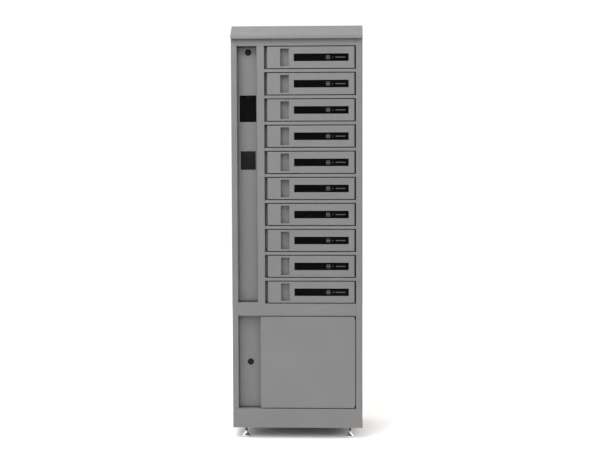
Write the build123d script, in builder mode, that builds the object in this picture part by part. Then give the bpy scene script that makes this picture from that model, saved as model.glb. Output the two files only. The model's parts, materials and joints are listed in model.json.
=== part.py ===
"""Free-standing phone charging kiosk: ten small locking bays beside a control column, over a locked cabinet.

Millimetres. +X is the user's right, +Y points to the rear and +Z is up. The origin is on the floor, under the
middle of the kiosk. The steelwork is folded sheet, and every door is shown closed with its lock drawn back.
"""

import os

from build123d import *

os.makedirs("parts", exist_ok=True)

# ------------------------------------------------------------------ driving dimensions
SHEET = 1.5  # thickness of all folded steel
BODY_WIDTH = 460.0
BODY_DEPTH = 360.0
CAP_OVERHANG = 12.0  # how far the hood stands in front of the face
FOOT_HEIGHT = 40.0  # floor to the underside of the plinth
PLINTH_HEIGHT = 68.0
LOWER_OPENING = 332.0  # height of the lower cabinet's opening
MID_RAIL = 43.5
BAY_COUNT = 10
BAY_PITCH = 91.5
BAY_OPENING = 81.0
TOP_RAIL = 21.8
CAP_GAP = 3.0  # shadow gap between the top rail and the hood
CAP_LIP = 12.0
CAP_RISE = 36.0
CAP_SETBACK = 55.0  # depth of the hood's sloping front
LEFT_STILE = 20.5
RECESS_WIDTH = 69.5  # control column opening
MULLION = 26.5
RIGHT_STILE = 23.0
RECESS_DEPTH = 28.0  # how far the control panel lies behind the face
FLANGE = 13.5  # depth of the folded edges behind the control panel
BAY_DEPTH = 240.0  # face to the wall behind the bays
DOOR_GAP = 3.0  # above and below each door
BAY_LATCH_GAP = 10.2  # beside a bay door, on its lock side
BAY_HINGE_GAP = 5.0
LOWER_HINGE_GAP = 2.0
BAY_DOOR_DEPTH = 18.0
LOWER_DOOR_DEPTH = 20.0
CHANNEL_WIDTH = 76.0  # sunk strip of the lower door, from the door's free edge
PIVOT_IN = 7.0  # hinge axis to the door's edge
PIVOT_BACK = 6.0  # hinge axis to the door's face
PIN_RADIUS = 2.0
PIN_FIT = 0.08  # radial running clearance of a door on its pin
PIN_REACH = 6.5  # how far a pin stands out of a rail
FOOT_INSET = 44.0

# ------------------------------------------------------------------ places worked out from them
LEFT, RIGHT = -BODY_WIDTH / 2, BODY_WIDTH / 2
FRONT = -(BODY_DEPTH - CAP_OVERHANG) / 2
BACK = FRONT + BODY_DEPTH
CAP_FRONT = FRONT - CAP_OVERHANG
BASE = FOOT_HEIGHT
PLINTH_TOP = BASE + PLINTH_HEIGHT
LOWER_TOP = PLINTH_TOP + LOWER_OPENING
BAY_BASE = LOWER_TOP + MID_RAIL
BAYS_TOP = BAY_BASE + (BAY_COUNT - 1) * BAY_PITCH + BAY_OPENING
RAIL_TOP = BAYS_TOP + TOP_RAIL
BODY_TOP = RAIL_TOP + CAP_GAP
ROOF = RAIL_TOP - SHEET - 1.5  # top face of the roof panel
CAP_TOP = BODY_TOP + CAP_LIP + CAP_RISE
COLUMN_LEFT = LEFT + LEFT_STILE
COLUMN_RIGHT = COLUMN_LEFT + RECESS_WIDTH
COLUMN_MIDDLE = (COLUMN_LEFT + COLUMN_RIGHT) / 2
BAYS_LEFT = COLUMN_RIGHT + MULLION
BAYS_RIGHT = RIGHT - RIGHT_STILE
PANEL_FACE = FRONT + RECESS_DEPTH
STOP = PANEL_FACE + FLANGE + 0.3  # front of the lips that the panel and lower door close against
BAY_BACK = FRONT + BAY_DEPTH
LEDGE = BAY_BASE + 3.5  # floor of the column recess
REAR_PANEL = BACK - 4.5  # inner face of the rear panel
WALL_IN = SHEET  # inner face of a side wall lies this far inside the body's edge
BAY_HINGE_X = BAYS_RIGHT - BAY_HINGE_GAP - PIVOT_IN
LOWER_HINGE_X = BAYS_RIGHT - LOWER_HINGE_GAP - PIVOT_IN
HINGE_Y = FRONT + PIVOT_BACK
PANEL_HINGE_X = COLUMN_LEFT + 7.0
PANEL_HINGE_Y = PANEL_FACE + 4.0
BOLT_Y = FRONT + 11.0
BOLT_RISE = BAY_OPENING / 2  # bolt axis above the bay's sill
BAY_SILLS = [BAY_BASE + BAY_PITCH * step for step in reversed(range(BAY_COUNT))]  # bay 1 is the top one
FOOT_PLACES = [(x, y) for x in (LEFT + FOOT_INSET, RIGHT - FOOT_INSET) for y in (FRONT + FOOT_INSET, BACK - FOOT_INSET)]

FACING_USER = Plane.XZ  # sketches on it read X across and Z up; its normal points to the user


def save(part, name):
    """Labels a finished part and writes it as one node."""
    part.label = name
    export_step(part, f"parts/{name}.step")


def slab(x, y, z, mode=Mode.ADD):
    """A box from the lower to the upper value of each pair, in the current workplane."""
    with Locations(((x[0] + x[1]) / 2, (y[0] + y[1]) / 2, (z[0] + z[1]) / 2)):
        Box(x[1] - x[0], y[1] - y[0], z[1] - z[0], mode=mode)


def edges_along(part, axis, **near):
    """The part's straight edges along an axis whose middles have the given x, y or z."""
    found = part.edges().filter_by(axis)
    for name, value in near.items():
        found = found.filter_by(lambda edge: abs(getattr(edge.center(), name) - value) < 0.01)
    return found


def tray(x, y, z, radius):
    """A folded tray: a face towards the user and four edges turned back, with rounded bends."""
    slab(x, y, z)
    builder = BuildPart._get_context()
    fillet(builder.faces().sort_by(Axis.Y)[0].edges(), radius=radius)
    slab((x[0] + SHEET, x[1] - SHEET), (y[0] + SHEET, y[1] + 1), (z[0] + SHEET, z[1] - SHEET), Mode.SUBTRACT)


# ------------------------------------------------------------------ carcass
def rear_screw_places():
    """Places of the rear panel's screws as (x, z)."""
    rows = 6
    first, last = PLINTH_TOP + 30, ROOF - 30
    heights = [first + (last - first) * row / (rows - 1) for row in range(rows)]
    return [(x, z) for z in heights for x in (LEFT + 12, RIGHT - 12)]


def drill_rear_screws():
    """Clearance holes for the rear panel's screws."""
    for x, z in rear_screw_places():
        with Locations(Plane(origin=(x, BACK, z), z_dir=(0, 1, 0))):
            Hole(2.1, depth=7)


def make_left_side():
    """Left wall, stile, column jamb and stop lip in one folded panel."""
    with BuildPart() as side_panel_left:
        slab((LEFT, LEFT + SHEET), (FRONT, BACK), (PLINTH_TOP, BODY_TOP))
        slab((LEFT, COLUMN_LEFT), (FRONT, FRONT + SHEET), (PLINTH_TOP, BODY_TOP))
        slab((COLUMN_LEFT - SHEET, COLUMN_LEFT), (FRONT, STOP + SHEET), (PLINTH_TOP, ROOF - SHEET))
        slab((COLUMN_LEFT - SHEET, COLUMN_LEFT + 8), (STOP, STOP + SHEET), (PLINTH_TOP, LOWER_TOP))
        slab((LEFT, LEFT + 22), (REAR_PANEL - SHEET, REAR_PANEL), (PLINTH_TOP, ROOF - SHEET))
        slab((LEFT + 12, COLUMN_LEFT + 1), (FRONT - 1, FRONT + 2), (RAIL_TOP, BODY_TOP + 1), Mode.SUBTRACT)
        fillet(edges_along(side_panel_left, Axis.Z, X=LEFT, Y=FRONT), radius=2.5)
        fillet(edges_along(side_panel_left, Axis.Z, X=COLUMN_LEFT, Y=FRONT), radius=1.4)
        fillet(edges_along(side_panel_left, Axis.X, Y=FRONT, Z=PLINTH_TOP), radius=0.7)
        drill_rear_screws()
    save(side_panel_left.part, "side_panel_left")


def make_right_side():
    """Right wall, stile and hinge jamb in one folded panel."""
    with BuildPart() as side_panel_right:
        slab((RIGHT - SHEET, RIGHT), (FRONT, BACK), (PLINTH_TOP, BODY_TOP))
        slab((BAYS_RIGHT, RIGHT), (FRONT, FRONT + SHEET), (PLINTH_TOP, BODY_TOP))
        slab((BAYS_RIGHT, BAYS_RIGHT + SHEET), (FRONT, FRONT + 20), (PLINTH_TOP, ROOF - SHEET))
        slab((RIGHT - 22, RIGHT), (REAR_PANEL - SHEET, REAR_PANEL), (PLINTH_TOP, ROOF - SHEET))
        slab((BAYS_RIGHT - 1, BAYS_RIGHT + 6), (FRONT - 1, FRONT + 2), (RAIL_TOP, BODY_TOP + 1), Mode.SUBTRACT)
        fillet(edges_along(side_panel_right, Axis.Z, X=RIGHT, Y=FRONT), radius=2.5)
        fillet(edges_along(side_panel_right, Axis.Z, X=BAYS_RIGHT, Y=FRONT), radius=1.4)
        fillet(edges_along(side_panel_right, Axis.X, Y=FRONT, Z=PLINTH_TOP), radius=0.7)
        drill_rear_screws()
    save(side_panel_right.part, "side_panel_right")


def make_top_rail():
    """Rail over the bays and the column, turned back underneath."""
    with BuildPart() as top_rail:
        slab((COLUMN_LEFT, BAYS_RIGHT), (FRONT, FRONT + SHEET), (BAYS_TOP, RAIL_TOP))
        slab((COLUMN_LEFT, COLUMN_RIGHT), (FRONT, STOP + 2.2), (BAYS_TOP, BAYS_TOP + SHEET))
        slab((COLUMN_RIGHT, BAYS_RIGHT), (FRONT, FRONT + 22), (BAYS_TOP, BAYS_TOP + SHEET))
        fillet(edges_along(top_rail, Axis.X, Y=FRONT, Z=BAYS_TOP), radius=1.2)
        with Locations((BAY_HINGE_X, HINGE_Y, BAYS_TOP), (PANEL_HINGE_X, PANEL_HINGE_Y, BAYS_TOP)):
            Hole(PIN_RADIUS + 0.05)
    save(top_rail.part, "top_rail")


def make_mullion():
    """Hollow post between the column and the bays; the bay locks sit inside it."""
    with BuildPart() as mullion:
        slab((COLUMN_RIGHT, BAYS_LEFT), (FRONT, FRONT + SHEET), (BAY_BASE, BAYS_TOP))
        slab((COLUMN_RIGHT, COLUMN_RIGHT + SHEET), (FRONT, STOP + SHEET), (BAY_BASE, BAYS_TOP))
        slab((COLUMN_RIGHT - 6, COLUMN_RIGHT + SHEET), (STOP, STOP + SHEET), (LEDGE, BAYS_TOP))
        slab((BAYS_LEFT - SHEET, BAYS_LEFT), (FRONT, FRONT + 24), (BAY_BASE, BAYS_TOP))
        fillet(edges_along(mullion, Axis.Z, X=COLUMN_RIGHT, Y=FRONT), radius=1.4)
        fillet(edges_along(mullion, Axis.Z, X=BAYS_LEFT, Y=FRONT), radius=1.2)
        for sill in BAY_SILLS:
            with Locations(Plane(origin=(BAYS_LEFT + 1, BOLT_Y, sill + BOLT_RISE), z_dir=(1, 0, 0))):
                Hole(4.3, depth=4)
    save(mullion.part, "mullion")


def make_mid_rail():
    """Rail between the bays and the lower cabinet, a little higher under the column."""
    with BuildPart() as mid_rail:
        slab((COLUMN_LEFT, BAYS_RIGHT), (FRONT, FRONT + SHEET), (LOWER_TOP, BAY_BASE))
        slab((COLUMN_LEFT, COLUMN_RIGHT), (FRONT, FRONT + SHEET), (BAY_BASE, LEDGE))
        slab((COLUMN_LEFT, COLUMN_RIGHT), (FRONT, STOP + 2.2), (LEDGE - SHEET, LEDGE))
        slab((COLUMN_RIGHT, BAYS_RIGHT), (FRONT, FRONT + 22), (BAY_BASE - SHEET, BAY_BASE))
        slab((COLUMN_LEFT, BAYS_RIGHT), (FRONT, STOP + 2.2), (LOWER_TOP, LOWER_TOP + SHEET))
        fillet(edges_along(mid_rail, Axis.X, Y=FRONT, Z=LOWER_TOP), radius=1.2)
        fillet(edges_along(mid_rail, Axis.X, Y=FRONT, Z=LEDGE), radius=1.2)
        with Locations((BAY_HINGE_X, HINGE_Y, BAY_BASE)):
            Hole(PIN_RADIUS + 0.05, depth=4)
        with Locations((LOWER_HINGE_X, HINGE_Y, LOWER_TOP + 3), (PANEL_HINGE_X, PANEL_HINGE_Y, LEDGE + 1)):
            Hole(PIN_RADIUS + 0.05, depth=4)
    save(mid_rail.part, "mid_rail")


ANCHORS = [(x, y) for x in (-120.0, 120.0) for y in (FRONT + 33, BACK - 33)]


def make_base_plinth():
    """Box plinth: floor of the lower cabinet above, a wide turned-in edge below for the feet and floor anchors."""
    edge = 65.0
    with BuildPart() as base_plinth:
        slab((LEFT, RIGHT), (FRONT, BACK), (BASE, PLINTH_TOP))
        fillet(edges_along(base_plinth, Axis.Z, Y=FRONT), radius=2.5)
        fillet(base_plinth.faces().sort_by(Axis.Z)[-1].edges().sort_by(Axis.Y)[0], radius=1.2)
        inside_x = (LEFT + SHEET, RIGHT - SHEET)
        slab(inside_x, (FRONT + SHEET, BACK - SHEET), (BASE + 2, PLINTH_TOP - SHEET), Mode.SUBTRACT)
        slab((LEFT + edge, RIGHT - edge), (FRONT + edge, BACK - edge), (BASE - 1, BASE + 3), Mode.SUBTRACT)
        for place in FOOT_PLACES:
            with Locations((*place, BASE + 3)):
                Hole(4.25, depth=5)
        for place in ANCHORS:
            with Locations((*place, BASE + 3)):
                Hole(6.0, depth=5)
            with Locations((*place, PLINTH_TOP + 1)):
                Hole(10.0, depth=5)
        with Locations((LOWER_HINGE_X, HINGE_Y, PLINTH_TOP + 1)):
            Hole(PIN_RADIUS + 0.05, depth=4)
    save(base_plinth.part, "base_plinth")


def make_roof_and_cap():
    """Flat roof inside the walls, and the hollow hood with a sloping front that covers it."""
    with BuildPart() as roof_panel:
        slab((LEFT + WALL_IN, RIGHT - WALL_IN), (FRONT + SHEET, REAR_PANEL - SHEET), (ROOF - SHEET, ROOF))
    save(roof_panel.part, "roof_panel")

    side_lap = 0.5
    with BuildPart() as top_cap:
        with BuildSketch(Plane.YZ):
            with BuildLine():
                Polyline(
                    (CAP_FRONT, BODY_TOP),
                    (CAP_FRONT, BODY_TOP + CAP_LIP),
                    (CAP_FRONT + CAP_SETBACK, CAP_TOP),
                    (BACK, CAP_TOP),
                    (BACK, BODY_TOP),
                    close=True,
                )
            make_face()
        extrude(amount=BODY_WIDTH / 2 + side_lap, both=True)
        fillet(edges_along(top_cap, Axis.X, Y=CAP_FRONT, Z=BODY_TOP + CAP_LIP), radius=4)
        fillet(edges_along(top_cap, Axis.X, Y=CAP_FRONT + CAP_SETBACK, Z=CAP_TOP), radius=6)
        fillet(edges_along(top_cap, Axis.X, Y=BACK, Z=CAP_TOP), radius=2.5)
        fillet(top_cap.edges().filter_by(Plane.YZ).filter_by(lambda edge: edge.center().Z > BODY_TOP + 1), radius=2)
        offset(amount=-SHEET, openings=top_cap.faces().sort_by(Axis.Z)[0], kind=Kind.INTERSECTION)
        half = BODY_WIDTH / 2 + side_lap - 0.5
        with BuildSketch(Plane.XY.offset(BODY_TOP)):
            with Locations((0, (CAP_FRONT + BACK) / 2)):
                Rectangle(2 * half, BACK - CAP_FRONT - 1)
                Rectangle(2 * half - 44, BACK - CAP_FRONT - 50, mode=Mode.SUBTRACT)
        extrude(amount=SHEET)
    save(top_cap.part, "top_cap")


def make_rear_panel():
    """Lift-off back with two fields of ventilation slots, a power inlet cut-out and screw holes."""
    with BuildPart() as rear_panel:
        slab((LEFT + 2, RIGHT - 2), (REAR_PANEL, REAR_PANEL + SHEET), (PLINTH_TOP + 1, ROOF))
        for field in (PLINTH_TOP + 215, ROOF - 110):
            with BuildSketch(FACING_USER.offset(-REAR_PANEL)):
                with Locations((0, field)):
                    with GridLocations(150, 14, 2, 9):
                        SlotOverall(120, 5)
            extrude(amount=-SHEET, mode=Mode.SUBTRACT)
        slab(
            (INLET_X - 24.2, INLET_X + 24.2), (REAR_PANEL - 1, BACK), (INLET_Z - 14.2, INLET_Z + 14.2), Mode.SUBTRACT
        )
        drill_rear_screws()
    save(rear_panel.part, "rear_panel")


INLET_X, INLET_Z = -150.0, PLINTH_TOP + 72


def make_interior_walls():
    """Partition beside the bays, the wall behind them, and the deck under them."""
    with BuildPart() as column_partition:
        slab((BAYS_LEFT - SHEET, BAYS_LEFT), (FRONT + 24, REAR_PANEL - SHEET), (BAY_BASE, ROOF - SHEET))
        with BuildSketch(Plane.YZ.offset(BAYS_LEFT - SHEET)):
            for sill in BAY_SILLS:
                with Locations((BAY_BACK + 60, sill + 40)):
                    Circle(14)
        extrude(amount=SHEET, mode=Mode.SUBTRACT)
    save(column_partition.part, "column_partition")

    with BuildPart() as bay_back_wall:
        slab((BAYS_LEFT, RIGHT - WALL_IN), (BAY_BACK, BAY_BACK + SHEET), (BAY_BASE, ROOF - SHEET))
        for sill in BAY_SILLS:
            slab(
                (SOCKET_X - 22.2, SOCKET_X + 22.2),
                (BAY_BACK - 1, BAY_BACK + 2),
                (sill + SOCKET_RISE - 10.2, sill + SOCKET_RISE + 10.2),
                Mode.SUBTRACT,
            )
    save(bay_back_wall.part, "bay_back_wall")

    with BuildPart() as middle_deck:
        with BuildSketch(Plane.XY.offset(BAY_BASE - SHEET)):
            with BuildLine():
                Polyline(
                    (LEFT + WALL_IN, STOP + 2.2),
                    (BAYS_LEFT - SHEET, STOP + 2.2),
                    (BAYS_LEFT - SHEET, FRONT + 22),
                    (RIGHT - WALL_IN, FRONT + 22),
                    (RIGHT - WALL_IN, REAR_PANEL - SHEET),
                    (LEFT + WALL_IN, REAR_PANEL - SHEET),
                    close=True,
                )
            make_face()
        extrude(amount=SHEET)
        with Locations((COLUMN_MIDDLE + 10, BACK - 90, BAY_BASE)):
            Hole(22)
    save(middle_deck.part, "middle_deck")


def make_bay_shelves():
    """Nine shelves; the folded front of each is the rail between two bay doors."""
    rail = BAY_PITCH - BAY_OPENING
    with BuildPart() as bay_shelves:
        for sill in BAY_SILLS[:-1]:
            with BuildSketch(Plane.XY.offset(sill - SHEET)):
                with BuildLine():
                    Polyline(
                        (BAYS_LEFT, FRONT),
                        (BAYS_RIGHT, FRONT),
                        (BAYS_RIGHT, FRONT + 22),
                        (RIGHT - WALL_IN, FRONT + 22),
                        (RIGHT - WALL_IN, BAY_BACK),
                        (BAYS_LEFT, BAY_BACK),
                        close=True,
                    )
                make_face()
            extrude(amount=SHEET)
            slab((BAYS_LEFT, BAYS_RIGHT), (FRONT, FRONT + SHEET), (sill - rail, sill))
            slab((BAYS_LEFT, BAYS_RIGHT), (FRONT, FRONT + 20), (sill - rail, sill - rail + SHEET))
            fillet(edges_along(bay_shelves, Axis.X, Y=FRONT, Z=sill), radius=1.2)
            fillet(edges_along(bay_shelves, Axis.X, Y=FRONT, Z=sill - rail), radius=1.2)
            with Locations((BAY_HINGE_X, HINGE_Y, sill)):
                Hole(PIN_RADIUS + 0.05, depth=rail)
    save(bay_shelves.part, "bay_shelves")


# ------------------------------------------------------------------ hinge pins, feet and screws
def pin(x, y, low, high):
    """An upright hinge pin."""
    with Locations((x, y, (low + high) / 2)):
        Cylinder(PIN_RADIUS, high - low)


def make_hinge_pins():
    """One pin through each bay rail serves the door above and the door below it."""
    rail = BAY_PITCH - BAY_OPENING
    with BuildPart() as hinge_pins:
        pin(BAY_HINGE_X, HINGE_Y, BAYS_TOP - PIN_REACH, BAYS_TOP + 8)
        for sill in BAY_SILLS[:-1]:
            pin(BAY_HINGE_X, HINGE_Y, sill - rail - PIN_REACH, sill + PIN_REACH)
        pin(BAY_HINGE_X, HINGE_Y, BAY_BASE - 8, BAY_BASE + PIN_REACH)
        pin(LOWER_HINGE_X, HINGE_Y, LOWER_TOP - PIN_REACH, LOWER_TOP + 8)
        pin(LOWER_HINGE_X, HINGE_Y, PLINTH_TOP - 8, PLINTH_TOP + PIN_REACH)
        pin(PANEL_HINGE_X, PANEL_HINGE_Y, BAYS_TOP - PIN_REACH, BAYS_TOP + 8)
        pin(PANEL_HINGE_X, PANEL_HINGE_Y, LEDGE - 8, LEDGE + PIN_REACH)
    save(hinge_pins.part, "hinge_pins")


def make_feet():
    """Four levelling feet: a flared base on a threaded stud, with a jam nut under the plinth."""
    with BuildPart() as levelling_feet:
        for x, y in FOOT_PLACES:
            with BuildSketch(Plane.XZ.offset(-y)):
                with BuildLine():
                    Polyline(
                        (x, 0), (x + 12, 0), (x + 13, 1), (x + 13, 3.5), (x + 11.5, 5), (x + 5.5, 15), (x + 5.5, 19),
                        (x + 4, 20), (x + 4, 57), (x + 3, 58), (x, 58), close=True,
                    )
                make_face()
            revolve(axis=Axis((x, y, 0), (0, 0, 1)))
    save(levelling_feet.part, "levelling_feet")

    with BuildPart() as foot_nuts:
        for place in FOOT_PLACES:
            with BuildSketch(Plane.XY.offset(BASE - 6.5)):
                with Locations(place):
                    RegularPolygon(6.5, 6, major_radius=False)
                    Circle(4.05, mode=Mode.SUBTRACT)
            extrude(amount=6.5)
    save(foot_nuts.part, "foot_nuts")


def make_rear_screws():
    """Pan-head screws that hold the rear panel."""
    with BuildPart() as rear_screws:
        for x, z in rear_screw_places():
            with BuildSketch(FACING_USER.offset(-(REAR_PANEL + SHEET))):
                with Locations((x, z)):
                    Circle(4.0)
            extrude(amount=-2.2)
            with BuildSketch(FACING_USER.offset(-(REAR_PANEL + SHEET + 1.2))):
                with Locations((x, z)):
                    Rectangle(4.4, 0.9)
                    Rectangle(0.9, 4.4)
            extrude(amount=-1.0, mode=Mode.SUBTRACT)
            with BuildSketch(FACING_USER.offset(-(REAR_PANEL + SHEET))):
                with Locations((x, z)):
                    Circle(2.0)
            extrude(amount=5.0)
    save(rear_screws.part, "rear_screws")


# ------------------------------------------------------------------ bay doors, windows and locks
DOOR_LEFT = BAYS_LEFT + BAY_LATCH_GAP
DOOR_RIGHT = BAYS_RIGHT - BAY_HINGE_GAP
DOOR_HEIGHT = BAY_OPENING - 2 * DOOR_GAP
PULL_X = (DOOR_LEFT + 46.5, DOOR_LEFT + 76.0)
PULL_HEIGHT = 62.0
PULL_DEPTH = 15.0
PULL_UNDERCUT = 5.0  # room behind the face for fingertips, towards the free edge
WINDOW_X = (DOOR_LEFT + 93.5, DOOR_LEFT + 285.0)
WINDOW_HEIGHT = 26.4
SOCKET_X = 60.0
SOCKET_RISE = 40.0


def make_bay_door(number, sill):
    """Folded steel door with a sunk finger pull, a window slot, two hinge holes and a keep for the bolt."""
    low, high = DOOR_GAP, DOOR_GAP + DOOR_HEIGHT
    middle = (low + high) / 2
    with BuildPart(Plane.XY.offset(sill)) as bay_door:
        tray((DOOR_LEFT, DOOR_RIGHT), (FRONT, FRONT + BAY_DOOR_DEPTH), (low, high), radius=1.4)
        pull_z = (middle - PULL_HEIGHT / 2, middle + PULL_HEIGHT / 2)
        cup_left = PULL_X[0] - PULL_UNDERCUT
        slab(
            (cup_left - SHEET, PULL_X[1] + SHEET),
            (FRONT + SHEET / 2, FRONT + SHEET + PULL_DEPTH + SHEET),
            (pull_z[0] - SHEET, pull_z[1] + SHEET),
        )
        slab((cup_left, PULL_X[1]), (FRONT + SHEET, FRONT + SHEET + PULL_DEPTH), pull_z, Mode.SUBTRACT)
        slab(PULL_X, (FRONT - 1, FRONT + SHEET + 1), pull_z, Mode.SUBTRACT)
        slab(
            WINDOW_X, (FRONT - 1, FRONT + SHEET + 1), (middle - WINDOW_HEIGHT / 2, middle + WINDOW_HEIGHT / 2),
            Mode.SUBTRACT,
        )
        rim = [edge for edge in bay_door.edges() if abs(edge.center().Y - FRONT) < 0.01]
        rim = [edge for edge in rim if PULL_X[0] - 0.1 < edge.center().X < PULL_X[1] + 0.1 and edge.length < 70]
        rim = [edge for edge in rim if pull_z[0] - 0.1 < edge.center().Z - sill < pull_z[1] + 0.1]
        fillet(rim, radius=0.8)
        with Locations((DOOR_RIGHT - PIVOT_IN, HINGE_Y, high)):
            Hole(PIN_RADIUS + PIN_FIT)
        with Locations(Location((DOOR_LEFT - 1, BOLT_Y, BOLT_RISE), (0, -90, 0))):
            Hole(4.8, depth=SHEET + 2)
    save(bay_door.part, f"bay_door_{number:02d}")


def make_bay_window(number, sill):
    """Smoked window that fills the slot flush with the face and laps behind it."""
    middle = BAY_OPENING / 2
    lap = 4.0
    half = WINDOW_HEIGHT / 2
    with BuildPart(Plane.XY.offset(sill)) as bay_window:
        slab(
            (WINDOW_X[0] + 0.2, WINDOW_X[1] - 0.2),
            (FRONT + 0.15, FRONT + SHEET),
            (middle - half + 0.2, middle + half - 0.2),
        )
        slab(
            (WINDOW_X[0] - lap, WINDOW_X[1] + lap),
            (FRONT + SHEET, FRONT + SHEET + 2),
            (middle - half - lap, middle + half + lap),
        )
    save(bay_window.part, f"bay_window_{number:02d}")


def make_bay_bolt(number, sill):
    """Round lock bolt, drawn back so that its nose is level with the mullion."""
    nose = BAYS_LEFT - 0.5
    with BuildPart(Plane.XY.offset(sill)) as bay_bolt:
        with Locations(Location(((COLUMN_RIGHT + 2 + nose) / 2, BOLT_Y, BOLT_RISE), (0, 90, 0))):
            Cylinder(4.0, nose - COLUMN_RIGHT - 2)
        chamfer(bay_bolt.faces().sort_by(Axis.X)[-1].edges(), length=1.0)
    save(bay_bolt.part, f"bay_bolt_{number:02d}")


def make_lock_housings():
    """One solenoid lock for each bay, in the hollow of the mullion."""
    with BuildPart() as bay_lock_housings:
        for sill in BAY_SILLS:
            middle = sill + BOLT_RISE
            slab(
                (COLUMN_RIGHT + SHEET + 0.3, BAYS_LEFT - SHEET - 0.2),
                (FRONT + SHEET + 0.5, FRONT + 22),
                (middle - 20, middle + 20),
            )
            with Locations(Plane(origin=(BAYS_LEFT, BOLT_Y, middle), z_dir=(1, 0, 0))):
                Hole(4.15, depth=MULLION)
    save(bay_lock_housings.part, "bay_lock_housings")


def make_charge_sockets():
    """A charging module in each bay's rear wall, with two small sockets side by side."""
    with BuildPart() as charge_sockets:
        for sill in BAY_SILLS:
            z = sill + SOCKET_RISE
            slab((SOCKET_X - 26, SOCKET_X + 26), (BAY_BACK - 3, BAY_BACK), (z - 14, z + 14))
            slab((SOCKET_X - 22, SOCKET_X + 22), (BAY_BACK, BAY_BACK + 22), (z - 10, z + 10))
            with BuildSketch(FACING_USER.offset(-(BAY_BACK - 3))):
                with Locations((SOCKET_X, z)):
                    with GridLocations(22, 1, 2, 1):
                        SlotOverall(9, 3.2)
            extrude(amount=-8, mode=Mode.SUBTRACT)
    save(charge_sockets.part, "charge_sockets")


# ------------------------------------------------------------------ lower door and control panel
LOWER_LEFT = COLUMN_LEFT + 3.0
LOWER_RIGHT = BAYS_RIGHT - LOWER_HINGE_GAP
CHANNEL_EDGE = LOWER_LEFT + CHANNEL_WIDTH
LOWER_Z = (PLINTH_TOP + DOOR_GAP, LOWER_TOP - DOOR_GAP)
LOWER_LOCK = (COLUMN_MIDDLE + 7.0, sum(LOWER_Z) / 2 - 2)
CONTROLS_X = COLUMN_MIDDLE + 1.8  # the display and reader sit right of centre
PANEL_LOCK = (COLUMN_MIDDLE + 3.5, BAYS_TOP - 20.5)
PANEL_X = (COLUMN_LEFT + 1.5, COLUMN_RIGHT - 1.5)
PANEL_Z = (LEDGE + 2.5, BAYS_TOP - 2.0)
SCREEN_SIZE = (58.6, 93.5)
SCREEN_Z = BAYS_TOP - 217.5
READER_SIZE = (53.2, 65.4)
READER_Z = BAYS_TOP - 399.5


def make_lower_door():
    """Folded door whose left strip is sunk to the control panel's level, with notched hinge corners."""
    low, high = LOWER_Z
    with BuildPart() as lower_door:
        slab((CHANNEL_EDGE, LOWER_RIGHT), (FRONT, FRONT + LOWER_DOOR_DEPTH), (low, high))
        slab((CHANNEL_EDGE, CHANNEL_EDGE + SHEET), (FRONT, PANEL_FACE + FLANGE), (low, high))
        fillet(edges_along(lower_door, Axis.Z, Y=FRONT), radius=2.5)
        fillet(edges_along(lower_door, Axis.X, Y=FRONT), radius=1.4)
        slab(
            (CHANNEL_EDGE + SHEET, LOWER_RIGHT - SHEET),
            (FRONT + SHEET, FRONT + LOWER_DOOR_DEPTH + 1),
            (low + SHEET, high - SHEET),
            Mode.SUBTRACT,
        )
        slab((LOWER_LEFT, CHANNEL_EDGE + SHEET), (PANEL_FACE, PANEL_FACE + FLANGE), (low, high))
        slab(
            (LOWER_LEFT + SHEET, CHANNEL_EDGE),
            (PANEL_FACE + SHEET, PANEL_FACE + FLANGE + 1),
            (low + SHEET, high - SHEET),
            Mode.SUBTRACT,
        )
        for notch in ((low - 1, low + 9), (high - 9, high + 1)):
            slab((LOWER_RIGHT - 3.5, LOWER_RIGHT + 1), (FRONT - 1, FRONT + 30), notch, Mode.SUBTRACT)
        with Locations((LOWER_HINGE_X, HINGE_Y, high)):
            Hole(PIN_RADIUS + PIN_FIT)
        with Locations(Plane(origin=(LOWER_LOCK[0], PANEL_FACE, LOWER_LOCK[1]), z_dir=(0, -1, 0))):
            Hole(9.1, depth=SHEET + 1)
    save(lower_door.part, "lower_door")


def make_service_panel():
    """Narrow control panel that closes the column; it swings out on two pins beside the left stile."""
    with BuildPart() as service_panel:
        tray(PANEL_X, (PANEL_FACE, PANEL_FACE + FLANGE), PANEL_Z, radius=2.0)
        with BuildSketch(FACING_USER.offset(-PANEL_FACE)):
            with Locations((CONTROLS_X, SCREEN_Z)):
                Rectangle(*SCREEN_SIZE)
            with Locations((CONTROLS_X, READER_Z)):
                Rectangle(*READER_SIZE)
            with Locations(PANEL_LOCK):
                Circle(9.1)
        extrude(amount=-SHEET, mode=Mode.SUBTRACT)
        with Locations((PANEL_HINGE_X, PANEL_HINGE_Y, PANEL_Z[1])):
            Hole(PIN_RADIUS + PIN_FIT)
    save(service_panel.part, "service_panel")


def cut_in_front(x, z, front, size, depth):
    """A block behind the control panel, centred on x and z, from y = front backwards."""
    slab((x - size[0] / 2, x + size[0] / 2), (front, front + depth), (z - size[1] / 2, z + size[1] / 2))


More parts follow.
